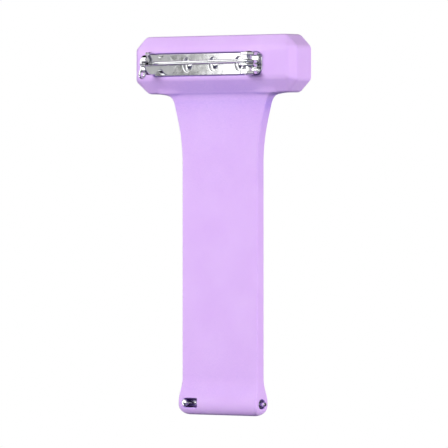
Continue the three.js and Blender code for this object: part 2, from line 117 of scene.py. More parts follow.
# Sizes of the brooch.
BAR_THICKNESS = 0.8
BAR_CORNER_CUT = (1.0, 1.0)
BAR_CORNER_FILLET = 0.3
POCKET_GAP = 0.15
EAR_THICKNESS = 0.7
EAR_RADIUS = 2.15
EAR_HOLE = 0.78
RIVET_MIDDLE_X = 0.3
RIVET_PITCH = 8.0
RIVET_XS = [RIVET_MIDDLE_X + step * RIVET_PITCH for step in (-1, 0, 1)]
BAR_HOLE = np.array([1.4, 1.7])
COUNTERBORE_DEPTH = 0.5
RIVET_HEAD = 1.22
RIVET_SHANK = 0.8
RIVET_TAIL = 1.15
HINGE_HEAD = 1.15
HINGE_HEAD_HEIGHT = 0.36
HINGE_SHANK = 0.75
WIRE_RADIUS = 0.425
POINT_LENGTH = 2.4
COIL_RADIUS = 1.65
COIL_PITCH = 0.92
COIL_TURNS = 1.8
STEM_TOP_Z = 0.6
SHELL_RADIUS = 2.8
SHELL_WALL = 0.55
SHELL_PLATE = 0.35
SHELL_FOOT = 1.5
ROTOR_RADIUS = 2.14
ROTOR_BORE = 0.6
ROTOR_FLANGE = 0.6
SLOT_WIDTH = 0.9
MOUTH_ANGLE = math.radians(55)
TAB_ANGLE = math.radians(-60)
TAB_REACH = 3.0
TAB_RADIUS = 1.1
TAB_HOLE = 0.6

# Sizes of the spring bar.
TUBE_RADIUS = 0.95
TUBE_BORE = 0.675
TUBE_LIP = 0.3
TUBE_LIP_BORE = 0.58
TUBE_SLOT_HALF = 0.42
TIP_RADIUS = 0.5
TIP_DOME = 0.28
TIP_SHOULDER = 0.61
SHOULDER_X = 11.3
KNOB_RADIUS = 0.86
KNOB_DOME = 0.45
KNOB_HEIGHT = 1.1
KNOB_STEM = 0.28
KNOB_TRAVEL = 1.6

# ------------------------------------------------------ signed distance fields


def cut(a, b, radius=0.0):
    """What is in both a and b, its edge rounded to a radius."""
    if np.all(radius == 0):
        return np.maximum(a, b)
    rounded = np.hypot(np.maximum(a + radius, 0), np.maximum(b + radius, 0))
    return np.minimum(-radius, np.maximum(a, b)) + rounded


def join(a, b, radius=0.0):
    """What is in a or in b, the corner between them filled to a radius."""
    return -cut(-a, -b, radius)


def carve(a, b, radius=0.0):
    """What is in a but not in b, its edge rounded to a radius."""
    return cut(a, -b, radius)


def slab(value, low, high):
    """Distance from the stretch between low and high, negative inside it."""
    return np.maximum(low - value, value - high)


def ellipse(a, b, half_a, half_b):
    """Distance, nearly, from an ellipse round (0, 0) in the plane (a, b)."""
    reach = np.hypot(a / half_a, b / half_b)
    steep = np.hypot(a / half_a**2, b / half_b**2)
    return reach * (reach - 1) / np.maximum(steep, 1e-6)


def facet(x, y, z, *corners):
    """Distance from the plane through three corners, positive away from the origin's side."""
    a, b, c = (np.array(corner, dtype=float) for corner in corners)
    normal = np.cross(b - a, c - a)
    normal /= np.linalg.norm(normal)
    level = normal @ a
    if level < 0:
        normal, level = -normal, -level
    return normal[0] * x + normal[1] * y + normal[2] * z - level


def slope(a, b, start, end):
    """Distance from the line start to end in the plane (a, b), positive on its right."""
    da, db = end[0] - start[0], end[1] - start[1]
    return ((a - start[0]) * db - (b - start[1]) * da) / math.hypot(da, db)


def octagon(a, b, half_a, half_b, corner_cut, radius):
    """A rectangle round (0, 0) in the plane (a, b), with its corners cut off."""
    a = np.abs(a)
    b = np.abs(b)
    cut_start = (half_a, half_b - corner_cut[1])
    cut_end = (half_a - corner_cut[0], half_b)
    corner = slope(a, b, cut_start, cut_end)
    return cut(np.maximum(a - half_a, b - half_b), corner, radius)


def bezier(p0, p1, p2, p3, count=40):
    """Points along the cubic curve from p0 to p3 that p1 and p2 pull on."""
    t = np.linspace(0, 1, count)[:, None]
    u = 1 - t
    p0, p1, p2, p3 = np.array([p0, p1, p2, p3], dtype=float)
    return u**3 * p0 + 3 * u**2 * t * p1 + 3 * u * t**2 * p2 + t**3 * p3


# ------------------------------------------------------------- meshes in code


def ticks(*stretches):
    """Grid lines along one axis, from stretches of (start, end, step)."""
    lines = [np.arange(start, end, step) for start, end, step in stretches]
    return np.concatenate(lines + [[stretches[-1][1]]])


def gradient(field, points):
    """The slope of a field at each point."""
    step = 0.01
    out = np.empty_like(points)
    for axis in range(3):
        ahead, behind = points.copy(), points.copy()
        ahead[:, axis] += step
        behind[:, axis] -= step
        out[:, axis] = (field(*ahead.T) - field(*behind.T)) / (2 * step)
    return out


def onto_surface(field, points, rounds, reach):
    """Points moved to where the field is zero, by no more than reach in a round."""
    for _ in range(rounds):
        slope_at = gradient(field, points)
        size = np.maximum((slope_at**2).sum(axis=1), 0.05)
        move = -(field(*points.T) / size)[:, None] * slope_at
        length = np.linalg.norm(move, axis=1, keepdims=True)
        points = points + move * np.minimum(1, reach / np.maximum(length, 1e-9))
    return points


def surface_net(field, grid):
    """Quads round the zero level of a field: one vertex for each cell it crosses."""
    xs, ys, zs = grid
    values = field(xs[:, None, None], ys[None, :, None], zs[None, None, :])
    inside = values < 0
    corners = sum(
        inside[i : i + len(xs) - 1, j : j + len(ys) - 1, k : k + len(zs) - 1].astype(np.int8)
        for i in (0, 1)
        for j in (0, 1)
        for k in (0, 1)
    )
    crossed = (corners > 0) & (corners < 8)
    number = np.full(crossed.shape, -1)
    number[crossed] = np.arange(crossed.sum())
    cells = np.argwhere(crossed)
    mids = [(line[1:] + line[:-1]) / 2 for line in grid]
    points = np.stack([mids[axis][cells[:, axis]] for axis in range(3)], axis=1)

    quads = []
    for axis in range(3):
        across, up = (axis + 1) % 3, (axis + 2) % 3
        low = np.take(inside, range(inside.shape[axis] - 1), axis)
        high = np.take(inside, range(1, inside.shape[axis]), axis)
        edges = np.argwhere(low != high)
        leaving = low[tuple(edges.T)]
        ring = []
        for a, b in ((1, 1), (0, 1), (0, 0), (1, 0)):
            cell = edges.copy()
            cell[:, across] -= a
            cell[:, up] -= b
            ring.append(number[tuple(cell.T)])
        ring = np.stack(ring, axis=1)
        ring[~leaving] = ring[~leaving][:, ::-1]
        quads.append(ring)
    return points, np.concatenate(quads)


def relaxed(points, quads):
    """Each vertex moved halfway to the middle of its neighbours."""
    total = np.zeros_like(points)
    count = np.zeros(len(points))
    for a, b in ((0, 1), (1, 2), (2, 3), (3, 0)):
        for here, there in ((a, b), (b, a)):
            np.add.at(total, quads[:, here], points[quads[:, there]])
            np.add.at(count, quads[:, here], 1)
    return (points + total / count[:, None]) / 2


def mesh_piece(name, points, faces):
    """A smooth-shaded object from points in millimetres."""
    mesh = bpy.data.meshes.new(name)
    mesh.from_pydata((np.asarray(points) * MM).tolist(), [], [list(f) for f in faces])
    mesh.polygons.foreach_set("use_smooth", [True] * len(mesh.polygons))
    mesh.update()
    piece = bpy.data.objects.new(name, mesh)
    bpy.context.scene.collection.objects.link(piece)
    return piece


def skinned(name, field, grid, pitch):
    """A field's surface as an object, its vertices evened out along the surface."""
    points, quads = surface_net(field, grid)
    points = onto_surface(field, points, rounds=4, reach=pitch)
    for _ in range(2):
        points = onto_surface(field, relaxed(points, quads), rounds=2, reach=pitch)
    return mesh_piece(name, points, quads.tolist())


def box_grid(low, high, pitch):
    """An even grid round a box, with two steps to spare on each side."""
    return [ticks((low[axis] - 2 * pitch, high[axis] + 2 * pitch, pitch)) for axis in range(3)]


def swept(name, path, radii, sides=24):
    """A round tube along a path, closed at both ends."""
    path = [Vector(p) for p in path]
    count = len(path)
    tangents = [
        (path[min(i + 1, count - 1)] - path[max(i - 1, 0)]).normalized() for i in range(count)
    ]
    side = tangents[0].orthogonal().normalized()
    points = []
    for i, centre in enumerate(path):
        if i:
            side = (tangents[i - 1].rotation_difference(tangents[i]) @ side).normalized()
        other = tangents[i].cross(side)
        for s in range(sides):
            angle = 2 * math.pi * s / sides
            points.append(centre + radii[i] * (math.cos(angle) * side + math.sin(angle) * other))
    faces = [
        (
            ring * sides + s,
            ring * sides + (s + 1) % sides,
            (ring + 1) * sides + (s + 1) % sides,
            (ring + 1) * sides + s,
        )
        for ring in range(count - 1)
        for s in range(sides)
    ]
    faces.append(tuple(reversed(range(sides))))
    faces.append(tuple(range((count - 1) * sides, count * sides)))
    return mesh_piece(name, [tuple(p) for p in points], faces)


def turned(name, profile, centre, axis, segments=64, edge=0.05):
    """A profile of (radius, height) pairs from one end to the other, turned round an axis."""
    points = []
    for radius, height in profile[1:-1]:
        for s in range(segments):
            angle = 2 * math.pi * s / segments
            points.append((radius * math.cos(angle), radius * math.sin(angle), height))
    rings = len(profile) - 2
    points += [(0, 0, profile[0][1]), (0, 0, profile[-1][1])]
    first, last = rings * segments, rings * segments + 1
    faces = []
    for s in range(segments):
        after = (s + 1) % segments
        faces.append((first, after, s))
        for ring in range(rings - 1):
            a, b = ring * segments, (ring + 1) * segments
            faces.append((a + s, a + after, b + after, b + s))
        top = (rings - 1) * segments
        faces.append((last, top + s, top + after))
    turn = Vector((0, 0, 1)).rotation_difference(Vector(axis)).to_matrix()
    placed = [Vector(centre) + turn @ Vector(p) for p in points]
    piece = mesh_piece(name, [tuple(p) for p in placed], faces)
    bevel = piece.modifiers.new("edges", "BEVEL")
    bevel.width = edge * MM
    bevel.segments = 3
    bevel.limit_method = "ANGLE"
    bevel.angle_limit = math.radians(35)
    piece.modifiers.new("normals", "WEIGHTED_NORMAL")
    return piece


# ------------------------------------------------------------------ the strap


def head_bevels(across, y, up, plateau_edge, long_foot_y):
    """The end, long and corner bevels of the head's upper or lower half."""
    right, top, front = STRAP_HIGH[0], STRAP_HIGH[2], STRAP_HIGH[1]
    back = STRAP_LOW[1]
    end_bevel = slope(y, across, (back, PLATEAU_HALF_WIDTH), (BEVEL_FOOT_Y, right))
    long_bevel = slope(y, up, (back, plateau_edge), (long_foot_y, top))
    corner_bevel = facet(
        across, y - front, up,
        (PLATEAU_HALF_WIDTH, back - front, plateau_edge),
        (right, BEVEL_FOOT_Y - front, top - CORNER_CUT[1]),
        (right - CORNER_CUT[0], long_foot_y - front, top),
    )
    return cut(cut(-end_bevel, -long_bevel, radius=0.35), corner_bevel, radius=0.3)


def head_field(x, y, z):
    """The octagonal head, bevelled on the side with the brooch."""
    outline = octagon(x, z, STRAP_HIGH[0], STRAP_HIGH[2], CORNER_CUT, radius=0.5)
    upper = head_bevels(np.abs(x), y, z, PLATEAU_TOP_Z, BEVEL_FOOT_Y)
    lower = head_bevels(np.abs(x), y, -z, -PLATEAU_LOW_Z, LOW_BEVEL_FOOT_Y)
    bevels = np.where(z > 0, upper, lower)
    raised = cut(STRAP_LOW[1] - y, bevels, radius=0.45)
    raised = cut(raised, outline, radius=0.35)
    return cut(raised, y - STRAP_HIGH[1], radius=0.5)


def half_widths():
    """The band's half width at each height, from the lug up, as (z, width)."""
    foot = -STRAP_HIGH[2]
    lug = bezier(
        (LUG_SIDE_TOP_Z, LUG_HALF_WIDTH), (LUG_TOP_Z - 3.6, LUG_HALF_WIDTH),
        (LUG_TOP_Z - 2.6, BAND_HALF_WIDTH), (LUG_TOP_Z, BAND_HALF_WIDTH),
    )
    fillet_end = (FILLET_END_Z, FILLET_END_X)
    taper = bezier(
        (TAPER_END_Z, BAND_HALF_WIDTH), (-17.2, BAND_HALF_WIDTH), (-13.4, 13.2), fillet_end,
    )
    fillet = bezier(fillet_end, (-8.2, 14.65), (foot, 15.5), (foot, FILLET_START_X))
    return np.concatenate([lug, taper, fillet[1:]])


def half_depths():
    """The band's half thickness at each height, from the bead's axis up, as (z, depth)."""
    return bezier(
        (SPRING_BAR[2], LUG_HALF_THICKNESS), (LUG_TOP_Z - 4.4, LUG_HALF_THICKNESS),
        (LUG_TOP_Z - 2.8, BAND_HALF_THICKNESS), (LUG_TOP_Z, BAND_HALF_THICKNESS),
    )


def cove_depths():
    """The same on the back, with the cove that runs on from the head's lower bevel."""
    foot = -STRAP_HIGH[2]
    deep = BAND_MID_Y - LOW_BEVEL_FOOT_Y
    bevel_slope = (PLATEAU_LOW_Z - foot) / (LOW_BEVEL_FOOT_Y - STRAP_LOW[1])
    turn_z = foot - bevel_slope * (deep - BAND_HALF_THICKNESS)
    cove = bezier(
        (COVE_FOOT_Z, BAND_HALF_THICKNESS),
        ((COVE_FOOT_Z + 2 * turn_z) / 3, BAND_HALF_THICKNESS),
        ((foot + 2 * turn_z) / 3, (deep + 2 * BAND_HALF_THICKNESS) / 3),
        (foot, deep),
    )
    return np.concatenate([half_depths(), cove])


def depth_beyond(off, z, depths):
    """How far a point lies outside a half thickness that changes with height."""
    steepness = 1 / np.sqrt(1 + np.gradient(depths[:, 1], depths[:, 0]) ** 2)
    beyond = off - np.interp(z, depths[:, 0], depths[:, 1])
    return beyond * np.interp(z, depths[:, 0], steepness)


WIDTHS = half_widths()
FRONT_DEPTHS = half_depths()
BACK_DEPTHS = cove_depths()


def band_field(x, y, z):
    """The band and the lug at its lower end."""
    step = 0.05
    steepest = 3
    width = np.interp(z, WIDTHS[:, 0], WIDTHS[:, 1])
    lean = (np.interp(z + step, WIDTHS[:, 0], WIDTHS[:, 1]) - width) / step
    side = (np.abs(x) - width) / np.sqrt(1 + np.minimum(lean**2, steepest**2))
    outline = cut(side, STRAP_LOW[2] - z, LUG_CORNER)

    off = np.abs(y - BAND_MID_Y)
    back = depth_beyond(off, z, BACK_DEPTHS)
    flat = np.where(y < BAND_MID_Y, back, depth_beyond(off, z, FRONT_DEPTHS))
    bead = ellipse(off, z - SPRING_BAR[2], LUG_HALF_THICKNESS, SPRING_BAR[2] - STRAP_LOW[2])
    profile = np.where(z > SPRING_BAR[2], flat, bead)
    return cut(profile, outline, radius=0.36)


def bar_outline(x, z, gap):
    """The brooch bar's outline, with a gap all round."""
    middle = (BAR_LOW[0] + BAR_HIGH[0]) / 2
    half_length = (BAR_HIGH[0] - BAR_LOW[0]) / 2 + gap
    half_height = BAR_HIGH[2] + gap
    return octagon(x - middle, z, half_length, half_height, BAR_CORNER_CUT, BAR_CORNER_FILLET)


def pocket_field(x, y, z):
    """The shallow pocket that the brooch bar lies in."""
    return np.maximum(bar_outline(x, z, POCKET_GAP), y - BAR_THICKNESS)


def lever_slot_field(x, y, z):
    """The slot in the lug that the quick-release knob slides in."""
    up = np.abs(z - SPRING_BAR[2])
    round_end = np.hypot(x - (SLOT_LEFT + SLOT_HALF), up) - SLOT_HALF
    straight = cut(up - SLOT_HALF, x - SLOT_RIGHT, radius=0.25)
    shape = np.where(x < SLOT_LEFT + SLOT_HALF, round_end, straight)
    return np.maximum(shape, y - SPRING_BAR[1])


def head_join_radius(x, y):
    """The band meets the head softly at its sides and front, and crisply where the cove is."""
    crisp = 0.3
    soft = 0.9
    at_sides = np.interp(np.abs(x), (11.0, 15.0), (crisp, soft))
    at_front = np.interp(y, (BAND_MID_Y, BAND_MID_Y + 1.0), (crisp, soft))
    return np.maximum(at_sides, at_front)


def strap_field(x, y, z):
    """Head and band joined, less the pocket, the bore and the knob's slot."""
    band_top_z = -5.0
    bore = np.hypot(y - SPRING_BAR[1], z - SPRING_BAR[2]) - BORE_RADIUS
    band = cut(band_field(x, y, z), z - band_top_z)
    body = join(head_field(x, y, z), band, head_join_radius(x, y))
    body = carve(body, pocket_field(x, y, z), radius=0.2)
    body = carve(body, bore, radius=0.15)
    return carve(body, lever_slot_field(x, y, z), radius=0.18)


def make_strap():
    """The strap, on a grid that is coarser along the plain band."""
    pitch = 0.22
    taper_pitch = 0.4
    band_pitch = 1.0
    above_lug = -73.0
    below_taper = -26.0
    below_fillet = -12.0
    grid = box_grid(STRAP_LOW, STRAP_HIGH, pitch)
    grid[2] = ticks(
        (STRAP_LOW[2] - 2 * pitch, above_lug, pitch),
        (above_lug, below_taper, band_pitch),
        (below_taper, below_fillet, taper_pitch),
        (below_fillet, STRAP_HIGH[2] + 2 * pitch, pitch),
    )
    return skinned("strap", strap_field, grid, pitch)


# ----------------------------------------------------- brooch bar and rivets


def ear_outline(x, y):
    """A round lug on a neck that stands on the bar."""
    shift = x - HINGE[0]
    eye = np.hypot(shift, y - HINGE[1]) - EAR_RADIUS
    neck_left = -2.7
    neck_right = 0.5
    left = slope(shift, y, (neck_left, BAR_THICKNESS / 2), (-EAR_RADIUS, HINGE[1]))
    right = slope(shift, y, (EAR_RADIUS, HINGE[1]), (neck_right, BAR_THICKNESS / 2))
    neck = cut(np.maximum(left, right), slab(y, HINGE[1], BAR_THICKNESS / 2))
    return join(eye, neck)


def brooch_bar_field(x, y, z):
    """The bar and its two ears, less the holes for the rivets."""
    shank_gap = 0.05
    plate = cut(bar_outline(x, z, 0), slab(y, 0, BAR_THICKNESS), radius=0.12)
    ear_slab = slab(np.abs(z), BAR_HIGH[2] - EAR_THICKNESS, BAR_HIGH[2])
    ears = cut(ear_outline(x, y), ear_slab, radius=0.12)
    body = join(plate, ears, radius=0.25)
    for rivet_x in RIVET_XS:
        oval = ellipse(x - rivet_x, z, *BAR_HOLE)
        body = carve(body, np.maximum(oval, y - COUNTERBORE_DEPTH), radius=0.14)
        body = carve(body, np.hypot(x - rivet_x, z) - RIVET_SHANK - shank_gap)
    return carve(body, np.hypot(x - HINGE[0], y - HINGE[1]) - EAR_HOLE, radius=0.05)


def make_brooch_bar():
    """The bar, on a grid fine enough for the rims of its holes."""
    pitch = 0.075
    return skinned("bar", brooch_bar_field, box_grid(BAR_LOW, BAR_HIGH, pitch), pitch)


def dome(radius, top, depth, count):
    """A dome's profile from the axis out, as (radius, depth) pairs."""
    return [
        (radius * math.sin(a), top + depth * (1 - math.cos(a)))
        for a in np.linspace(0, math.pi / 2, count)
    ]


def flipped(profile):
    """The mirror image of a profile, run from its other end."""
    return [(radius, -depth) for radius, depth in reversed(profile)]


def make_bar_rivets():
    """Domed heads sunk in the bar's holes, with shanks down to the anchor plate."""
    tail_top = 3.225
    tail_rim = 3.6
    tail_end = 3.7
    profile = dome(RIVET_HEAD, 0.1, 0.24, 9) + [
        (RIVET_HEAD, COUNTERBORE_DEPTH),
        (RIVET_SHANK, COUNTERBORE_DEPTH),
        (RIVET_SHANK, tail_top),
        (RIVET_TAIL, tail_top),
        (RIVET_TAIL - 0.15, tail_rim),
        (0, tail_end),
    ]
    profile = flipped(profile)
    return [
        turned(f"rivet_{index + 1}", profile, (x, 0, 0), (0, -1, 0))
        for index, x in enumerate(RIVET_XS)
    ]


def make_hinge_rivet():
    """A rivet through both ears, domed at each end."""
    seat = BAR_HIGH[2] + 0.02
    head = [
        (HINGE_HEAD * math.cos(a), seat + HINGE_HEAD_HEIGHT * math.sin(a))
        for a in np.linspace(0, math.pi / 2, 7)
    ]
    upper = [(HINGE_SHANK, seat)] + head[:-1] + [(0, seat + HINGE_HEAD_HEIGHT)]
    return turned("rivet_hinge", flipped(upper) + upper, HINGE, (0, 0, 1), edge=0.03)


# --------------------------------------------------------- needle and catch


def coil_path():
    """Round the rivet, from the coil's free end to where the stem leaves it."""
    start = -math.pi / 2
    steps = 76
    coil = []
    for step in range(steps, 0, -1):
        turn = COIL_TURNS * step / steps
        angle = start + 2 * math.pi * turn
        coil.append((
            HINGE[0] + COIL_RADIUS * math.cos(angle),
            HINGE[1] + COIL_RADIUS * math.sin(angle),
            STEM_TOP_Z - COIL_PITCH * turn,
        ))
    return coil


def point_radius(left):
    """The wire's radius at a distance from the needle's point."""
    blunt = 0.06
    growth = 0.4
    if left >= POINT_LENGTH:
        return WIRE_RADIUS
    return min(WIRE_RADIUS, blunt + growth * math.sqrt(max(left, 0) / POINT_LENGTH))


def make_needle():
    """The coil round the rivet, and the stem from it to the point in the catch."""
    coil = coil_path()
    root = np.array([HINGE[0], HINGE[1] - COIL_RADIUS, STEM_TOP_Z])
    tip = np.array([NEEDLE_LOW[0], CATCH[1], CATCH[2]])
    length = np.linalg.norm(tip - root)
    plain = np.linspace(0, length - POINT_LENGTH, 12)
    pointed = length - POINT_LENGTH * (1 - np.linspace(0.1, 1, 12))
    distances = np.concatenate([plain, pointed])
    stem = [tuple(root + (tip - root) * d / length) for d in distances]
    free_end = 0.3
    radii = [free_end] + [WIRE_RADIUS] * (len(coil) - 1)
    radii += [point_radius(length - d) for d in distances]
    return swept("needle", coil + stem, radii, sides=28)


def catch_local(y, z):
    """Outward and upward from the catch's axis."""
    return CATCH[1] - y, z - CATCH[2]


def catch_shell_field(x, y, z):
    """The catch's fixed shell, hollow, with a V-shaped mouth for the needle."""
    out, up = catch_local(y, z)
    radius = np.hypot(out, up)
    left, right = SHELL_LOW[0], SHELL_HIGH[0]
    half_slot = SLOT_WIDTH / 2
    disc = radius - SHELL_RADIUS
    foot = cut(np.abs(up) - SHELL_FOOT, slab(y, CATCH[1], 0), radius=0.2)
    block = cut(join(disc, foot, radius=0.3), slab(x, left, right), radius=0.14)
    hollow = np.maximum(radius - (SHELL_RADIUS - SHELL_WALL), x - (right - SHELL_PLATE))
    below = -(up + half_slot)
    above = up * math.cos(MOUTH_ANGLE) - out * math.sin(MOUTH_ANGLE) - half_slot
    mouth = join(cut(np.maximum(below, above), -out), radius - half_slot)
    return carve(carve(block, hollow, radius=0.08), mouth, radius=0.1)


def catch_rotor_field(x, y, z):
    """The catch's turning barrel with its slot, and the tab with its eye."""
    out, up = catch_local(y, z)
    radius = np.hypot(out, up)
    left, right = ROTOR_LOW[0], ROTOR_HIGH[0]
    flange_right = left + ROTOR_FLANGE
    barrel = cut(radius - ROTOR_RADIUS, slab(x, left, right), radius=0.12)
    along = out * math.cos(TAB_ANGLE) + up * math.sin(TAB_ANGLE)
    across = -out * math.sin(TAB_ANGLE) + up * math.cos(TAB_ANGLE)
    arm = np.hypot(along - np.clip(along, 0, TAB_REACH), across) - TAB_RADIUS
    loop = np.hypot(along - TAB_REACH, across) - TAB_HOLE
    tab = cut(carve(arm, loop, radius=0.1), slab(x, left, flange_right), radius=0.14)
    slot = np.maximum(np.abs(up) - SLOT_WIDTH / 2, -out)
    slot = np.maximum(join(slot, radius - ROTOR_BORE, radius=0.1), flange_right - x)
    return carve(join(barrel, tab, radius=0.1), slot, radius=0.08)


def make_catch():
    """The catch's shell, and the barrel that turns in it."""
    pitch = 0.09
    shell = skinned("shell", catch_shell_field, box_grid(SHELL_LOW, SHELL_HIGH, pitch), pitch)
    rotor = skinned("rotor", catch_rotor_field, box_grid(ROTOR_LOW, ROTOR_HIGH, pitch), pitch)
    return shell, rotor


# ------------------------------------------------ quick-release spring bar


def tube_field(x, y, z):
    """The spring bar's tube, narrowed at both ends, with the knob's slot."""
    radius = np.hypot(y - SPRING_BAR[1], z - SPRING_BAR[2])
    half = TUBE_HIGH[0]
    wall = cut(radius - TUBE_RADIUS, np.abs(x) - half, radius=0.12)
    hollow = np.maximum(radius - TUBE_BORE, np.abs(x) - (half - TUBE_LIP))
    hollow = join(hollow, radius - TUBE_LIP_BORE)
    knob_x = (KNOB_LOW[0] + KNOB_HIGH[0]) / 2
    slot_left = knob_x - 0.5
    slot_right = knob_x + 0.7 + KNOB_TRAVEL
    slot = np.maximum(slab(x, slot_left, slot_right), np.abs(z - SPRING_BAR[2]) - TUBE_SLOT_HALF)
    slot = np.maximum(slot, y - SPRING_BAR[1])
    return carve(carve(wall, hollow, radius=0.04), slot, radius=0.05)


def tip_profile(inner, end):
    """A pin end with a shoulder: (radius, distance) from its inner end out to its tip."""
    tip = [
        (TIP_RADIUS * math.cos(a), end - TIP_DOME * (1 - math.sin(a)))
        for a in np.linspace(0, math.pi / 2, 8)
    ]
    body = [(0, inner), (TIP_SHOULDER, inner), (TIP_SHOULDER, SHOULDER_X), (TIP_RADIUS, SHOULDER_X)]
    return body + tip[:-1] + [(0, end)]


def make_spring_bar():
    """The tube, the tip fixed in it, and the plunger that slides in it."""
    pitch = 0.11
    tube = skinned("tube", tube_field, box_grid(TUBE_LOW, TUBE_HIGH, pitch), pitch)
    centre = (0, SPRING_BAR[1], SPRING_BAR[2])
    fixed = turned("tip", tip_profile(TIP_LOW[0], TIP_HIGH[0]), centre, (1, 0, 0))
    plunger_profile = tip_profile(-PLUNGER_HIGH[0], -PLUNGER_LOW[0])
    plunger = turned("plunger", plunger_profile, centre, (-1, 0, 0))
    return tube, fixed, plunger


def make_knob():
    """A domed button on a stem."""
    knob_x = (KNOB_LOW[0] + KNOB_HIGH[0]) / 2
    top = KNOB_LOW[1]
    foot = KNOB_HIGH[1]
    under = top + KNOB_HEIGHT
    profile = dome(KNOB_RADIUS, top, KNOB_DOME, 10) + [
        (KNOB_RADIUS, under),
        (KNOB_STEM, under),
        (KNOB_STEM, foot),
        (0, foot),
    ]
    return turned("knob", flipped(profile), (knob_x, 0, SPRING_BAR[2]), (0, -1, 0))


def make_spring():
    """The coil between the plunger and the fixed tip."""
    wire = 0.11
    radius = 0.45
    turns = 11
    steps = 24
    left = COIL_LOW[0] + wire
    right = COIL_HIGH[0] - wire
    path = []
    for step in range(turns * steps + 1):
        angle = 2 * math.pi * step / steps
        path.append((
            left + (right - left) * step / (turns * steps),
            SPRING_BAR[1] + radius * math.cos(angle),
            SPRING_BAR[2] + radius * math.sin(angle),
        ))
    return swept("spring", path, [wire] * len(path), sides=10)


# ------------------------------------------------------------------ materials


class Tree:
    """A short way to build a node tree."""

    def __init__(self, tree):
        self.tree = tree

    def add(self, kind, **settings):
        node = self.tree.nodes.new(kind)
        for key, value in settings.items():
            setattr(node, key, value)
        return node

    def link(self, output, target):
        self.tree.links.new(output, target)

    def stretched(self, value, start, end, low=0.0, high=1.0):
        """A value mapped from start..end to low..high."""
        mapped = self.add("ShaderNodeMapRange")
        mapped.inputs["From Min"].default_value = start
        mapped.inputs["From Max"].default_value = end
        mapped.inputs["To Min"].default_value = low
        mapped.inputs["To Max"].default_value = high
        self.link(value, mapped.inputs["Value"])
        return mapped.outputs["Result"]

    def ramp(self, value, *stops):
        """A colour for each value, from stops of (position, colour or grey level)."""
        node = self.add("ShaderNodeValToRGB")
        elements = node.color_ramp.elements
        for index, (position, color) in enumerate(stops):
            element = elements[index] if index < 2 else elements.new(position)
            element.position = position
            red, green, blue = color if isinstance(color, tuple) else (color, color, color)
            element.color = (red, green, blue, 1)
        self.link(value, node.inputs["Fac"])
        return node.outputs["Color"]

    def product(self, a, b):
        """Two colours multiplied."""
        mix = self.add("ShaderNodeMix", data_type="RGBA", blend_type="MULTIPLY")
        mix.inputs["Factor"].default_value = 1.0
        self.link(a, mix.inputs["A"])
        self.link(b, mix.inputs["B"])
        return mix.outputs["Result"]


class MaterialTree(Tree):
    """A material with its principled shader."""

    def __init__(self, name):
        self.material = bpy.data.materials.new(name)
        self.material.use_nodes = True
        super().__init__(self.material.node_tree)
        self.shader = self.tree.nodes["Principled BSDF"]
        self.place = self.add("ShaderNodeTexCoord").outputs["Object"]

    def noise(self, scale, detail=3.0, stretch=(1, 1, 1)):
        mapping = self.add("ShaderNodeMapping")
        mapping.inputs["Scale"].default_value = stretch
        self.link(self.place, mapping.inputs["Vector"])
        noise = self.add("ShaderNodeTexNoise")
        noise.inputs["Scale"].default_value = scale
        noise.inputs["Detail"].default_value = detail
        self.link(mapping.outputs["Vector"], noise.inputs["Vector"])
        return noise.outputs["Fac"]

    def spread(self, noise, low, high):
        """A noise value, most of which lies in 0.3..0.7, mapped to low..high."""
        return self.stretched(noise, 0.3, 0.7, low, high)

    def mottled(self, noise, dark, light):
        """A colour from a noise value."""
        return self.ramp(noise, (0.3, dark), (0.7, light))

    def painted_crevice_shade(self, color, reach, deep, slight):
        """The colour with painted shade: darker and bluer where the surface is hemmed in, slightly
        or deeply, within a reach.
        """
        hollow = self.add("ShaderNodeAmbientOcclusion", samples=8, only_local=True)
        hollow.inputs["Distance"].default_value = reach * MM
        # Painted shade: the less open the surroundings, the darker and bluer the colour.
        shade = self.ramp(hollow.outputs["AO"], (0.5, deep), (0.875, slight), (1.0, 1.0))
        return self.product(color, shade)

    def bump(self, height, distance, strength=1.0, under=None):
        bump = self.add("ShaderNodeBump")
        bump.inputs["Strength"].default_value = strength
        bump.inputs["Distance"].default_value = distance * MM
        self.link(height, bump.inputs["Height"])
        if under:
            self.link(under, bump.inputs["Normal"])
        return bump.outputs["Normal"]

    def set(self, **values):
        for key, value in values.items():
            self.shader.inputs[key.replace("_", " ")].default_value = value


def silicone_material():
    """Matte lilac silicone: fine moulded grain, faint mottling, a soft sheen, and painted shade in
    its hollows and under the head.
    """
    m = MaterialTree("silicone")
    mottle = m.mottled(m.noise(120, 4), dark=(0.755, 0.487, 0.955), light=(0.79, 0.53, 0.985))
    # Painted shade: the mottled lilac is darkened where the strap hems itself in within the reach,
    # such as under the head, along its lower bevel and round the pocket.
    shaded_mottle = m.painted_crevice_shade(mottle, reach=26, deep=(0.6, 0.58, 0.76), slight=(0.57, 0.56, 0.81))
    m.link(shaded_mottle, m.shader.inputs["Base Color"])
    m.link(m.spread(m.noise(900, 3), 0.5, 0.66), m.shader.inputs["Roughness"])
    grain = m.bump(m.noise(9000, 2), 0.012, 0.35)
    m.link(m.bump(m.noise(260, 2), 0.03, 0.15, grain), m.shader.inputs["Normal"])
    m.set(
        Subsurface_Weight=0.12,
        Subsurface_Radius=(1.0, 0.7, 1.2),
        Subsurface_Scale=0.0012,
        Specular_IOR_Level=0.35,
        IOR=1.41,
        Sheen_Weight=0.08,
        Sheen_Roughness=0.5,
    )
    return m.material


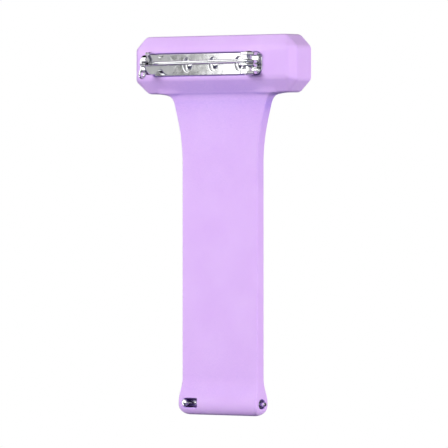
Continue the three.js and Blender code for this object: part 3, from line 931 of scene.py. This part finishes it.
def steel_material(name, tint, low, high, scratches):
    """Polished steel: roughness in soft patches and hairline scratches along X."""
    m = MaterialTree(name)
    darker = tuple(c * 0.93 for c in tint)
    m.link(m.mottled(m.noise(400, 3), darker, tint), m.shader.inputs["Base Color"])
    m.link(m.spread(m.noise(700, 4), low, high), m.shader.inputs["Roughness"])
    hairs = m.noise(6000, 2, stretch=(0.04, 1, 1))
    dents = m.bump(m.noise(500, 2), 0.01, 0.2)
    m.link(m.bump(hairs, 0.004, scratches, dents), m.shader.inputs["Normal"])
    m.set(Metallic=1.0)
    return m.material


def floor_material():
    """Matte grey."""
    m = MaterialTree("floor")
    m.link(m.mottled(m.noise(6, 2), 0.66, 0.69), m.shader.inputs["Base Color"])
    m.set(Roughness=0.9)
    return m.material


# ---------------------------------------------------------- the whole object


def coat(piece, material):
    """A material in place of all that a piece has."""
    piece.data.materials.clear()
    piece.data.materials.append(material)


def fit_piece(piece, body, slot, material, *nodes):
    """A piece with its material, on its body, in place of its CAD nodes."""
    coat(piece, material)
    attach(piece, body)
    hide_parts(*nodes)


def build_object():
    """Every piece of the strap, the brooch, the catch and the spring bar."""
    silicone = silicone_material()
    polished = steel_material("polished_steel", (0.86, 0.865, 0.87), 0.07, 0.12, 0.25)
    wire = steel_material("needle_steel", (0.88, 0.885, 0.89), 0.08, 0.16, 0.3)
    plain = steel_material("plain_steel", (0.55, 0.56, 0.58), 0.3, 0.42, 0.5)

    fit_piece(make_strap(), "root", "silicone", silicone, "silicone_strap")
    fit_piece(make_brooch_bar(), "root", "polished_steel", polished, "brooch_bar")
    for index, rivet in enumerate(make_bar_rivets()):
        fit_piece(rivet, "root", "polished_steel", polished, f"bar_rivet_{index + 1}")
    fit_piece(make_hinge_rivet(), "root", "polished_steel", polished, "hinge_rivet")
    fit_piece(make_needle(), "needle", "needle_steel", wire, "pin_needle")
    shell, rotor = make_catch()
    fit_piece(shell, "root", "polished_steel", polished, "catch_shell")
    fit_piece(rotor, "catch", "polished_steel", polished, "catch_rotor")
    tube, fixed, plunger = make_spring_bar()
    fit_piece(tube, "root", "polished_steel", polished, "spring_bar_tube")
    fit_piece(fixed, "root", "polished_steel", polished, "spring_bar_fixed_tip")
    fit_piece(plunger, "release", "polished_steel", polished, "quick_release_plunger")
    fit_piece(make_knob(), "release", "polished_steel", polished, "quick_release_knob")
    spring = make_spring()
    fit_piece(spring, "root", "plain_steel", plain, "spring_bar_coil")
    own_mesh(spring)
    # Nothing of the anchor plate shows, so it keeps its CAD mesh.
    coat(frame["nodes"]["anchor_plate"], plain)


# ------------------------------------------------------- stage, light, camera


def make_floor():
    """A wide round floor, far below the strap."""
    radius = 900
    floor_z = STRAP_LOW[2] - 420
    count = 96
    points = [(0, 0, floor_z)]
    for s in range(count):
        angle = 2 * math.pi * s / count
        points.append((radius * math.cos(angle), radius * math.sin(angle), floor_z))
    floor = mesh_piece("floor", points, [(0, 1 + s, 1 + (s + 1) % count) for s in range(count)])
    floor.data.materials.append(floor_material())
    floor.visible_diffuse = False
    floor.visible_glossy = False


def sky_directions(sky):
    """Where a ray points, as a turn from -Y towards +X and a height, each from 0 to 1."""
    place = sky.add("ShaderNodeTexCoord").outputs["Generated"]
    parts = sky.add("ShaderNodeSeparateXYZ")
    sky.link(place, parts.inputs["Vector"])
    flip = sky.add("ShaderNodeMath", operation="MULTIPLY")
    flip.inputs[1].default_value = -1
    sky.link(parts.outputs["Y"], flip.inputs[0])
    azimuth = sky.add("ShaderNodeMath", operation="ARCTAN2")
    sky.link(parts.outputs["X"], azimuth.inputs[0])
    sky.link(flip.outputs[0], azimuth.inputs[1])
    turn = sky.stretched(azimuth.outputs[0], -math.pi, math.pi)
    height = sky.stretched(parts.outputs["Z"], -1, 1)
    return turn, height


def studio_color(sky):
    """Bright walls with dark gaps, a dim lilac floor and a dark ceiling."""
    walls = [
        (-180, 0.5), (-150, 0.5), (-138, 0.04), (-96, 0.05), (-84, 0.3), (-44, 0.25),
        (-12, 0.5), (-5, 0.95), (96, 0.95), (106, 0.04), (130, 0.04), (137, 0.2),
        (145, 0.2), (152, 0.04), (170, 0.05), (180, 0.5),
    ]
    floor_to_ceiling = [
        (0.0, (0.2, 0.19, 0.32)), (0.42, (0.22, 0.21, 0.36)), (0.5, 0.75), (0.6, 0.9),
        (0.72, 0.5), (0.85, 0.1), (1.0, 0.08),
    ]
    turn, height = sky_directions(sky)
    around = sky.ramp(turn, *[((degrees + 180) / 360, level) for degrees, level in walls])
    upward = sky.ramp(height, *floor_to_ceiling)
    return sky.product(around, upward)


def make_world():
    """White to the camera; for light and reflections, a studio that is darker behind and below."""
    world = bpy.data.worlds.new("studio")
    bpy.context.scene.world = world
    world.use_nodes = True
    world.node_tree.nodes.clear()
    sky = Tree(world.node_tree)
    lit = sky.add("ShaderNodeBackground")
    sky.link(studio_color(sky), lit.inputs["Color"])
    lit.inputs["Strength"].default_value = 0.9
    seen = sky.add("ShaderNodeBackground")
    seen.inputs["Color"].default_value = (1, 1, 1, 1)
    rays = sky.add("ShaderNodeLightPath")
    mix = sky.add("ShaderNodeMixShader")
    sky.link(rays.outputs["Is Camera Ray"], mix.inputs["Fac"])
    sky.link(lit.outputs[0], mix.inputs[1])
    sky.link(seen.outputs[0], mix.inputs[2])
    output = sky.add("ShaderNodeOutputWorld")
    sky.link(mix.outputs[0], output.inputs["Surface"])


def area_light(name, azimuth, elevation, distance, size, watts, mirrored):
    """A soft box that looks at the strap: it either lights it or is mirrored by the steel."""
    data = bpy.data.lights.new(name, "AREA")
    data.shape = "RECTANGLE"
    data.size = size[0] * MM
    data.size_y = size[1] * MM
    data.energy = watts
    light = bpy.data.objects.new(name, data)
    bpy.context.scene.collection.objects.link(light)
    a = math.radians(azimuth)
    e = math.radians(elevation)
    toward = Vector((math.sin(a) * math.cos(e), -math.cos(a) * math.cos(e), math.sin(e)))
    aim = Vector((0, 0, -25))
    light.location = (aim + toward * distance) * MM
    light.rotation_euler = toward.to_track_quat("Z", "Y").to_euler()
    light.visible_camera = False
    light.visible_glossy = mirrored
    light.visible_diffuse = not mirrored


def make_lights():
    """Soft boxes for the silicone, and white cards for the steel to mirror."""
    lights = [
        # name, azimuth, elevation, distance, size, watts, mirrored
        ("key", -10, 16, 900, (500, 350), 6.6, False),
        ("side", 108, -4, 700, (300, 500), 4.0, False),
        ("front", 190, 20, 900, (700, 500), 3.0, False),
        ("bar_card", -15, 20, 600, (573, 450), 2.0, True),
        ("wire_card", -66, 4, 600, (420, 1300), 2.7, True),
    ]
    for light in lights:
        area_light(*light)


def make_camera():
    """A long lens at the strap's height, turned forty degrees towards the hinge."""
    azimuth = math.radians(40)
    distance = 1385
    eye_z = -34.35
    aside = 0.26
    data = bpy.data.cameras.new("camera")
    data.sensor_width = 36
    data.lens = 465
    data.shift_y = -0.0357
    data.clip_start = 0.05
    data.clip_end = 20
    camera = bpy.data.objects.new("camera", data)
    bpy.context.scene.collection.objects.link(camera)
    right = Vector((math.cos(azimuth), math.sin(azimuth), 0))
    away = Vector((math.sin(azimuth), -math.cos(azimuth), 0))
    camera.location = (Vector((0, BAND_MID_Y, eye_z)) + right * aside + away * distance) * MM
    camera.rotation_euler = away.to_track_quat("Z", "Y").to_euler()
    bpy.context.scene.camera = camera


make_camera()
build_object()
make_floor()
make_world()
make_lights()
bpy.context.scene.view_settings.view_transform = "Standard"
